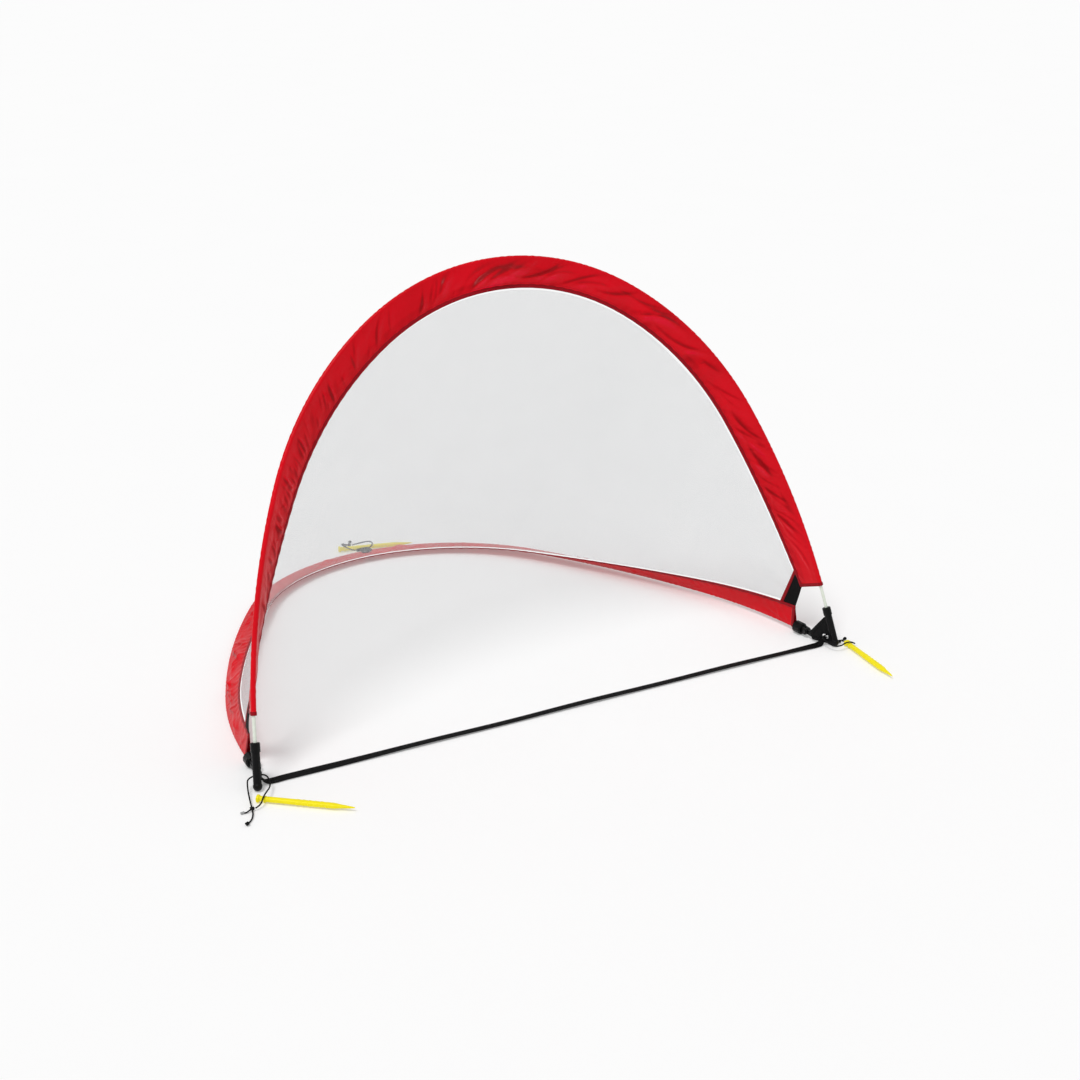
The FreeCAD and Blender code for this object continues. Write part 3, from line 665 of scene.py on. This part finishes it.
def net_patch(first, count, rows):
    """Grid of net points from the arch seam to the hoop seam, with its metres in U and V."""
    i = np.linspace(0, 1, count + 1)
    start_a, start_h = ARCH_INSET + first, HOOP_INSET + first
    upper = seam_points(arch, start_a + (arch.length - 2 * start_a) * i,
                        ARCH_WIDTH + NET_START)
    lower = seam_points(hoop, start_h + (hoop.length - 2 * start_h) * i,
                        HOOP_WIDTH + NET_START)
    t = np.linspace(-1, 1, rows + 1)
    v = 0.5 + 0.5 * np.sign(t) * (1 - (1 - np.abs(t)) ** 1.6)
    along = np.gradient(upper + lower, axis=0)
    normal = np.cross(lower - upper, along)
    normal /= np.linalg.norm(normal, axis=1)[:, None]
    normal *= np.where(normal[:, 2:3] < 0, -1, 1)
    sag = NET_SAG * np.sin(math.pi * i)
    drop = -sag[:, None] * (4 * v * (1 - v))[None, :]
    span = np.linalg.norm(lower - upper, axis=1)
    run = np.concatenate([[0], np.cumsum(np.linalg.norm(np.diff(upper + lower, axis=0),
                                                        axis=1) / 2)])
    drop += tension(i, v, span, run)
    grid = upper[:, None] + (lower - upper)[:, None] * v[None, :, None] \
        + normal[:, None] * drop[..., None]
    uvs = np.stack(np.broadcast_arrays(run[:, None], v[None, :] * span[:, None]), -1)
    return grid, uvs


def tension(i, v, span, run):
    """Puckers where the net is eased into its seams, and long pulls between the corners."""
    away_top = v[None, :] * span[:, None]
    away_low = (1 - v)[None, :] * span[:, None]
    s = run[:, None]
    top = 0.0016 * np.sin(s / 0.0060 + 1.9 * np.sin(s / 0.071)) * np.exp(-away_top / 0.022)
    low = 0.0014 * np.sin(s / 0.0068 + 2.3 * np.sin(s / 0.083)) * np.exp(-away_low / 0.020)
    top = top * np.clip((away_top - HELD) / 0.012, 0, 1)
    low = low * np.clip((away_low - HELD) / 0.012, 0, 1)
    corner = np.abs(2 * i - 1)[:, None]
    pulls = 0.0022 * np.sin(v[None, :] * 13 + 5 * corner) * np.sin(math.pi * v[None, :]) \
        * np.clip((corner - 0.55) * 2.5, 0, 1)
    drift = 0.0030 * np.sin(s / 0.115 + 3 * v[None, :]) * np.sin(math.pi * v[None, :])
    return top + low + pulls + drift


def net():
    """One continuous sheet, sewn all round, that sags a little behind the mouth."""
    grid, uvs = net_patch(CORNER_TAPE[0] + 0.004, 420, 96)
    count, rows = grid.shape[0], grid.shape[1]
    faces = [(i * rows + j, (i + 1) * rows + j, (i + 1) * rows + j + 1, i * rows + j + 1)
             for i in range(count - 1) for j in range(rows - 1)]
    obj = make("net_sheet", grid.reshape(-1, 3), faces, NET, uvs.reshape(-1, 2))
    span = np.broadcast_to(uvs[:, -1:, 1], grid.shape[:2])
    near = np.minimum(uvs[..., 1], span - uvs[..., 1])
    hem = np.clip((SELVEDGE - near) / 0.0012, 0, 1)
    obj.data.attributes.new("hem", "FLOAT", "POINT").data.foreach_set(
        "value", hem.astype(np.float32).ravel())
    area = sum(face.area for face in obj.data.polygons)
    return obj, area


def corner_band(name, first, last, half, material, puff):
    """Flat strip across the right-hand corner between the arch seam and the hoop seam."""
    steps = 40
    columns = 13
    ends = []
    for bow, inset, reach in ((arch, ARCH_INSET, ARCH_WIDTH + BAND_START),
                              (hoop, HOOP_INSET, HOOP_WIDTH + BAND_START)):
        s = inset + np.linspace(first, last, columns)
        ends.append(seam_points(bow, s, reach))
    upper, lower = ends
    t = np.linspace(0, 1, steps + 1)
    middle = upper[None] * (1 - t)[:, None, None] + lower[None] * t[:, None, None]
    normal = np.cross(lower[-1] - upper[-1], upper[-1] - upper[0])
    normal /= np.linalg.norm(normal)
    w = np.linspace(-1, 1, columns)
    edge = np.sqrt(np.clip(1 - w ** 8, 0.02, 1))
    bow_out = puff * (np.sin(math.pi * t)[:, None] * (1 - 0.3 * w[None, :] ** 2))
    ribs = 0.00022 * np.cos(w * math.pi * 7)[None, :] * (half < 0.0009)
    top = middle + normal * (bow_out + half * edge[None, :] + ribs)[..., None]
    low = middle + normal * (bow_out - half * edge[None, :] + ribs)[..., None]
    rings = np.concatenate([top, low[:, ::-1]], axis=1)
    long = np.linalg.norm(lower[0] - upper[0])
    u = np.broadcast_to((t * long)[:, None], (steps + 1, columns))
    across = np.broadcast_to((w * (last - first) / 2)[None, :], (steps + 1, columns))
    uvs = np.stack([np.concatenate([u, u], 1), np.concatenate([across, across[:, ::-1]], 1)], -1)
    return loft(name, rings, material, uvs)


def mirrored(obj, name):
    """The same piece on the left."""
    mesh = obj.data.copy()
    mesh.transform(Matrix.Scale(-1, 4, (1, 0, 0)))
    mesh.flip_normals()
    twin = bpy.data.objects.new(name, mesh)
    bpy.context.collection.objects.link(twin)
    for key, value in obj.items():
        twin[key] = value
    return twin


def fabrics():
    # The last argument is the strength of each sleeve's painted fold shade and highlight.
    front = sleeve("front_sleeve_fabric", arch, ARCH_INSET, ARCH_WIDTH, RED, arch_folds(),
                   3.4, 0.58)
    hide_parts("front_sleeve")
    ground = sleeve("ground_sleeve_fabric", hoop, HOOP_INSET, HOOP_WIDTH, RED_LOW,
                    hoop_folds(), 1.5, 0.34)
    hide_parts("ground_sleeve")
    upper = binding("front_seam_binding", arch, ARCH_INSET, ARCH_WIDTH)
    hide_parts("front_seam_tape")
    lower = binding("ground_seam_binding", hoop, HOOP_INSET, HOOP_WIDTH)
    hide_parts("ground_seam_tape")
    sheet, area = net()
    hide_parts("net")
    right_elastic = corner_band("right_elastic_band", 0.0, ELASTIC_WIDTH + 0.0012, 0.0008,
                                ELASTIC, 0.0015)
    left_elastic = mirrored(right_elastic, "left_elastic_band")
    right_tape = corner_band("right_corner_binding", CORNER_TAPE[0] - 0.0007,
                             CORNER_TAPE[1] + 0.0010, 0.0011, BINDING, 0.0015)
    left_tape = mirrored(right_tape, "left_corner_binding")
    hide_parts("right_corner_elastic")
    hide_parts("left_corner_elastic")
    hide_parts("right_corner_tape")
    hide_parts("left_corner_tape")
    for obj in (front, ground, upper, lower, sheet, right_elastic, left_elastic,
                right_tape, left_tape):
        across_fold(obj)


fabrics()


# ---------------------------------------------------------------- webbing
def webbing(name, path, widths, half, body, node_name):
    """Flat strap along a path of points, each with its own side direction and width."""
    points = np.array([p for p, side in path], float)
    sides = np.array([side for p, side in path], float)
    sides /= np.linalg.norm(sides, axis=1)[:, None]
    tangents = np.gradient(points, axis=0)
    tangents /= np.linalg.norm(tangents, axis=1)[:, None]
    normals = np.cross(tangents, sides)
    w = np.linspace(-1, 1, 15)
    edge = np.sqrt(np.clip(1 - np.abs(w) ** 6, 0.03, 1))
    rib = 1 + 0.35 * np.exp(-(w / 0.09) ** 2) + 0.30 * (np.abs(w) > 0.86)
    widths = np.asarray(widths, float)
    middle = points[:, None] + sides[:, None] * (w[None, :] * widths[:, None] / 2)[..., None]
    thick = half * edge * rib
    top = middle + normals[:, None] * thick[None, :, None]
    low = middle - normals[:, None] * thick[None, :, None]
    run = np.concatenate([[0], np.cumsum(np.linalg.norm(np.diff(points, axis=0), axis=1))])
    rings = np.concatenate([top, low[:, ::-1]], axis=1)
    u = np.broadcast_to(run[:, None], middle.shape[:2])
    across = w[None, :] * widths[:, None] / 2
    uvs = np.stack([np.concatenate([u, u], 1), np.concatenate([across, across[:, ::-1]], 1)], -1)
    obj = loft(name, rings, WEBBING, uvs)
    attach(obj, body)
    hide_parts(node_name)


def smooth(points, count):
    """Evenly spaced points on a cubic through the given ones."""
    points = np.asarray(points, float)
    gaps = np.linalg.norm(np.diff(points[:, :3], axis=0), axis=1)
    t = np.concatenate([[0], np.cumsum(gaps)])
    tangent = np.gradient(points, t, axis=0)
    q = np.linspace(0, t[-1], count)
    k = np.clip(np.searchsorted(t, q, side="right") - 1, 0, len(t) - 2)
    h = (t[k + 1] - t[k])[:, None]
    f = ((q - t[k]) / (t[k + 1] - t[k]))[:, None]
    return ((2 * f ** 3 - 3 * f ** 2 + 1) * points[k] + (f ** 3 - 2 * f ** 2 + f) * h
            * tangent[k] + (3 * f ** 2 - 2 * f ** 3) * points[k + 1]
            + (f ** 3 - f ** 2) * h * tangent[k + 1])


def cross_strap():
    """Webbing along the goal line, flat at the ends and on edge a little between them."""
    # From the ground, gathered as it rises into the bracket: x, height, width and y.
    ends = ((0.5670, 0.0011, 0.020, 0.000), (0.5760, 0.0018, 0.0185, 0.0004),
            (0.5810, 0.0052, 0.0130, 0.0004), (0.5850, 0.0106, 0.0088, 0.0),
            (0.5895, 0.0136, 0.0080, 0.0), (0.5940, 0.0139, 0.0080, 0.0))
    right = [(x, y, z, width) for x, z, width, y in ends]
    left = [(-x, y, z, width) for x, y, z, width in reversed(right)]
    run = []
    for x in np.linspace(-0.545, 0.545, 45):
        lift = 0.0088 * math.sin(strap_tilt(x))
        wave = 0.0006 * (1 + math.sin(x * 19 + 0.7)) * (1 - (x / 0.56) ** 4)
        run.append((x, 0.0008 * math.sin(x * 7), 0.0012 + wave + lift,
                    0.020 - 0.045 * strap_tilt(x)))
    line = smooth(left + run + right, 700)
    tilt = np.array([strap_tilt(x) for x in line[:, 0]])
    away = np.clip((np.abs(line[:, 0]) - 0.574) / 0.010, 0, 1) * math.radians(25)
    side = np.stack([-np.sign(line[:, 0]) * np.sin(away), np.cos(away) * np.cos(tilt),
                     -np.sin(tilt)], -1)
    path = list(zip(line[:, :3], side))
    webbing("goal_line_strap", path, line[:, 3], 0.0007, "front_frame", "cross_strap")


def strap_tilt(x):
    """How far the strap is turned on edge, front edge up."""
    left = min(1.0, max(0.0, (x + 0.50) / 0.22))
    right = min(1.0, max(0.0, (0.56 - x) / 0.06))
    return math.radians(4.0) * left * left * (3 - 2 * left) * right


def rear_tab():
    """Webbing loop stitched to the hoop's seam, round the sleeve and back on itself."""
    low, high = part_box("rear_tab")
    seam_y, top_z = low[1], high[2]
    eye_y, eye_z = high[1] - TAB_EYE, 0.008
    # From the seam, over the sleeve, and round the eye.
    line = [(seam_y, 0.0075), (seam_y + 0.010, 0.0090), (seam_y + 0.022, top_z - 0.0012),
            (seam_y + 0.034, top_z - 0.0004), (eye_y - 0.006, top_z - 0.0020),
            (eye_y + 0.0005, eye_z + 0.0031), (eye_y + 0.0030, eye_z + 0.0005),
            (eye_y + 0.0010, eye_z - 0.0029), (eye_y - 0.0025, eye_z - 0.0022),
            (eye_y - 0.0036, eye_z + 0.0010)]
    curve = smooth([(0, y, z) for y, z in line], 90)
    side = np.tile([1.0, 0, 0], (len(curve), 1))
    widths = np.full(len(curve), 0.026)
    webbing("rear_peg_tab", list(zip(curve, side)), widths, 0.0006, "ground_hoop", "rear_tab")


cross_strap()
rear_tab()


# ---------------------------------------------------------------- pegs
PEG = 0.165
PEG_AXIS = 0.0064               # height of its middle above the ground
HEAD, NECK = 0.0042, 0.0052     # distances from the head end at which each part stops
COLLAR, COLLAR_END = 0.0120, 0.0170
BARBS, BARBS_END = 0.066, 0.126
BARB_PITCH = 0.010


def peg(name, head, azimuth, body, cad_node):
    """Ribbed ground peg with a T head, lying on the ground."""
    around = 48
    angles = np.linspace(0, 2 * math.pi, around, endpoint=False)
    cosines = np.sign(np.cos(angles)) * np.abs(np.cos(angles)) ** 0.62
    sines = np.sign(np.sin(angles)) * np.abs(np.sin(angles)) ** 0.62
    rings = []
    for z in np.concatenate([np.linspace(0, 0.022, 56), np.linspace(0.0224, BARBS_END, 330),
                             np.linspace(BARBS_END + 0.0005, PEG, 48)]):
        wide, tall, low, ridge = shank(z)
        up = sines * np.where(sines > 0, tall, low)
        up = up + ridge * np.exp(-(cosines * wide / 0.0011) ** 2) * np.sign(sines)
        rings.append(np.stack([np.full(around, z), cosines * wide, up], -1))
    spin = Matrix.Rotation(math.radians(azimuth), 4, "Z")
    obj = loft(name, np.array(rings), YELLOW)
    obj.data.transform(Matrix.Translation((*head, PEG_AXIS)) @ spin)
    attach(obj, body)
    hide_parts(cad_node)


def shank(z):
    """Half width, height above and below the middle, and ridge height along the peg."""
    if z < HEAD:
        edge = math.sqrt(max(0.0, 1 - ((0.0021 - z) / 0.00215) ** 6))
        return 0.0066 * (0.80 + 0.20 * edge), 0.0056 * (0.8 + 0.2 * edge), 0.0056, 0.0
    if z < NECK:
        drop = (z - HEAD) / (NECK - HEAD)
        return 0.0066 - 0.0026 * drop, 0.0056 - 0.0014 * drop, 0.0056 - 0.0016 * drop, 0.0
    if z < COLLAR:
        return 0.0040, 0.0042, 0.0040, 0.0
    if z < COLLAR_END:
        swell = math.sin(math.pi * (z - COLLAR) / (COLLAR_END - COLLAR))
        return 0.0040 + 0.0014 * swell, 0.0042, 0.0040 + 0.0022 * swell, 0.0002
    if z < BARBS:
        settle = min(1.0, (z - COLLAR_END) / 0.006)
        return 0.0040 + 0.0009 * settle, 0.0040, 0.0040, 0.0006 * settle
    if z < BARBS_END:
        phase = ((z - BARBS) / BARB_PITCH) % 1.0
        barb = 0.0015 * (phase / 0.22 if phase < 0.22 else (1 - phase) / 0.78)
        return 0.0046 + barb, 0.0040, 0.0040, 0.0007
    fade = (z - BARBS_END) / (PEG - BARBS_END)
    fin = math.exp(-((fade - 0.12) / 0.16) ** 2)
    point = max(0.0, 1 - fade) ** 0.75
    return 0.0006 + 0.0040 * point + 0.0012 * fin, 0.0006 + 0.0034 * point, \
        0.0006 + 0.0034 * point, 0.0007 * (1 - fade)


# ---------------------------------------------------------------- cords
# Routes in millimetres: from the knot through the bracket or tab, and back by the peg's head.
CORD_R = 0.0013
KNOT_R, STUB_R = 0.0016, 0.0021             # cord swollen in a knot, and the melted end
LEFT_CORD = ((-630.5, -72.3, 5.2), (-625, -48, 8), (-617, -20, 12), (-609.5, -0.8, 18.2),
             (-578, -0.8, 18.2), (-578.5, -24, 14), (-586, -40, 12), (-596, -52.5, 14.2),
             (-608.5, -67.5, 13.4), (-616, -77, 6.4), (-626, -79, 4.4))
RIGHT_CORD = ((612.5, -7.8, 5.2), (611, -2, 12), (604, -0.5, 18.2), (579, -0.7, 18.2),
              (577, -24, 13), (583, -41, 11), (596, -44, 11.5), (608.5, -40.6, 13.8),
              (621, -41.6, 13.6), (631, -42.4, 7.5), (635.5, -33, 4.6), (630, -22.5, 4.4),
              (620.9, -14.4, 4.4))
REAR_CORD = ((-15.8, 49.0, 5.2), (-30, 44, 12), (-36.5, 28.5, 15.4), (-30, 11, 13),
             (-19, 0, 8), (18, 0, 8), (29, 5, 15.6), (27, 20, 16.6), (12, 33, 11),
             (-5.1, 44.6, 4.4))


def tube(name, points):
    """The cord itself: one open smooth curve with a round section."""
    curve = bpy.data.curves.new(name, "CURVE")
    curve.dimensions = "3D"
    curve.bevel_depth = CORD_R
    curve.bevel_resolution = 5
    curve.use_fill_caps = True
    curve.resolution_u = 16
    spline = curve.splines.new("NURBS")
    spline.points.add(len(points) - 1)
    for knot, point in zip(spline.points, points):
        knot.co = (*point, 1)
    spline.order_u = 3
    spline.use_endpoint_u = True
    curve.materials.append(CORD)
    obj = bpy.data.objects.new(name, curve)
    bpy.context.collection.objects.link(obj)
    return obj


def trefoil(size, flat, at):
    """Closed line of an overhand knot pulled tight, centred on a point."""
    t = np.linspace(0, 2 * math.pi, 100, endpoint=False)
    line = np.stack([np.sin(t) + 2 * np.sin(2 * t), np.cos(t) - 2 * np.cos(2 * t),
                     -np.sin(3 * t)], -1)
    return line * (size, size * flat, size * 1.25) + np.array(at)


def overhand(name, at, tails, body, cad_node):
    """Overhand knot with two short free ends, one cut and one finished with a knot."""
    turn = math.radians(tails[0][0])
    knot = trefoil(0.00104, 0.78, (0, 0, 0))
    twist = np.array([[math.cos(turn), -math.sin(turn), 0],
                      [math.sin(turn), math.cos(turn), 0], [0, 0, 1]])
    black = [(knot @ twist.T + np.array(at), True, KNOT_R)]
    for degrees, reach in tails:
        a = math.radians(degrees)
        steps = np.linspace(0, 1, 24)
        bend = 0.10 * reach * np.sin(steps * math.pi)
        x = at[0] + reach * steps * math.cos(a) - bend * math.sin(a)
        y = at[1] + reach * steps * math.sin(a) + bend * math.cos(a)
        z = at[2] + (0.0016 - at[2]) * np.minimum(1, steps * 1.6) ** 1.5
        black.append((np.stack([x, y, np.maximum(z, 0.0015)], -1), False, CORD_R))
        if reach > 0.020:
            black.append((trefoil(0.00084, 0.95, (x[-1], y[-1], 0.0034)), True, KNOT_R))
    reach = tails[0][1]
    heading = np.array([math.cos(turn), math.sin(turn), 0.0])
    start = np.array([at[0], at[1], 0.0]) + heading * (reach - 0.003) + (0, 0, 0.0023)
    stub = np.array([start + heading * step for step in np.linspace(0, 0.006, 8)])
    points, faces = [], []
    for line, closed, radius in black:
        sweep(points, faces, line, closed, radius)
    cut_from = len(faces)
    sweep(points, faces, stub, False, STUB_R)
    obj = make(name, points, faces, CORD)
    obj.data.materials.append(CORD_END)
    index = np.zeros(len(faces), np.int32)
    index[cut_from:] = 1
    obj.data.polygons.foreach_set("material_index", index)
    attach(obj, body)
    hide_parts(cad_node)
    return obj


def sweep(points, faces, line, closed, radius):
    """Adds a round tube along a line of points to a list of points and faces."""
    size = 10
    if closed:
        tangent = np.roll(line, -1, 0) - np.roll(line, 1, 0)
    else:
        tangent = np.gradient(line, axis=0)
    tangent /= np.linalg.norm(tangent, axis=1)[:, None]
    up = np.array([0.03, 0.05, 1.0])
    side = np.cross(tangent, up)
    side /= np.linalg.norm(side, axis=1)[:, None]
    rise = np.cross(side, tangent)
    base = len(points)
    angles = np.linspace(0, 2 * math.pi, size, endpoint=False)
    for p, a, b in zip(line, side, rise):
        for angle in angles:
            points.append(p + a * (radius * math.cos(angle)) + b * (radius * math.sin(angle)))
    count = len(line)
    for i in range(count if closed else count - 1):
        k = (i + 1) % count
        for j in range(size):
            m = (j + 1) % size
            faces.append((base + i * size + j, base + k * size + j, base + k * size + m,
                          base + i * size + m))
    if not closed:
        faces.append(tuple(base + j for j in range(size)))
        faces.append(tuple(base + (count - 1) * size + j for j in reversed(range(size))))


def tied_pegs():
    _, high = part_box("rear_tab")
    eye = (0.0, high[1] - TAB_EYE)
    pegs = (("left", (-0.614, -0.053), -40.0, (-0.632, -0.078, 0.0044),
             ((187, 0.017), (-120, 0.046)), LEFT_CORD, (0, 0)),
            ("right", (0.621, -0.028), -98.0, (0.615, -0.013, 0.0044),
             ((75, 0.018), (20, 0.022)), RIGHT_CORD, (0, 0)),
            ("rear", (-0.044, eye[1] + 0.030), -14.3, (-0.010, eye[1] + 0.048, 0.0044),
             ((118, 0.016), (62, 0.022)), REAR_CORD, eye))
    for side, head, azimuth, at, tails, route, shift in pegs:
        body = side + "_peg"
        peg(side + "_ground_peg", head, azimuth, body, side + "_peg")
        knot = overhand(side + "_overhand_knot", at, tails, body, side + "_cord_knot")
        points = [(x * MM + shift[0], y * MM + shift[1], z * MM) for x, y, z in route]
        line = tube(side + "_tie_cord", points)
        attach(line, body)
        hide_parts(side + "_peg_cord")


tied_pegs()


# ---------------------------------------------------------------- CAD pieces kept
def dress(name, material):
    for slot in bpy.data.objects[name].material_slots:
        slot.material = material


for name in ("front_rod", "ground_rod"):
    dress(name, ROD)
for side in ("left", "right"):
    dress(side + "_bracket", PLASTIC)
    dress(side + "_hoop_hub", PLASTIC)
    dress(side + "_hinge_pin", STEEL)


# ---------------------------------------------------------------- floor and light
def studio():
    bpy.ops.mesh.primitive_plane_add(size=400, location=(0, 0, -0.0005))
    floor = bpy.context.object
    floor.name = "studio_floor"
    mat, tree, surface = shader("studio_floor", (0.75, 0.75, 0.75), 0.9,
                                Specular_IOR_Level=0.0, Emission_Color=(1, 1, 1, 1),
                                Emission_Strength=0.22)
    vary(tree, surface, noise(tree, coords(tree, "Object"), 3.0, 2.0), (0.745, 0.745, 0.745),
         (0.755, 0.755, 0.755))
    floor.data.materials.append(mat)
    world = bpy.context.scene.world or bpy.data.worlds.new("studio")
    bpy.context.scene.world = world
    world.use_nodes = True
    sky = world.node_tree.nodes["Background"]
    sky.inputs["Color"].default_value = (1, 1, 1, 1)
    sky.inputs["Strength"].default_value = 0.55
    data = bpy.data.lights.new("window_light", "SUN")
    data.energy = 1.60
    data.angle = math.radians(22)
    lamp = bpy.data.objects.new("window_light", data)
    bpy.context.collection.objects.link(lamp)
    lamp.rotation_euler = Vector((0.46, 0.22, -1.0)).to_track_quat("-Z", "Y").to_euler()
    bpy.context.scene.view_settings.view_transform = "Standard"


studio()
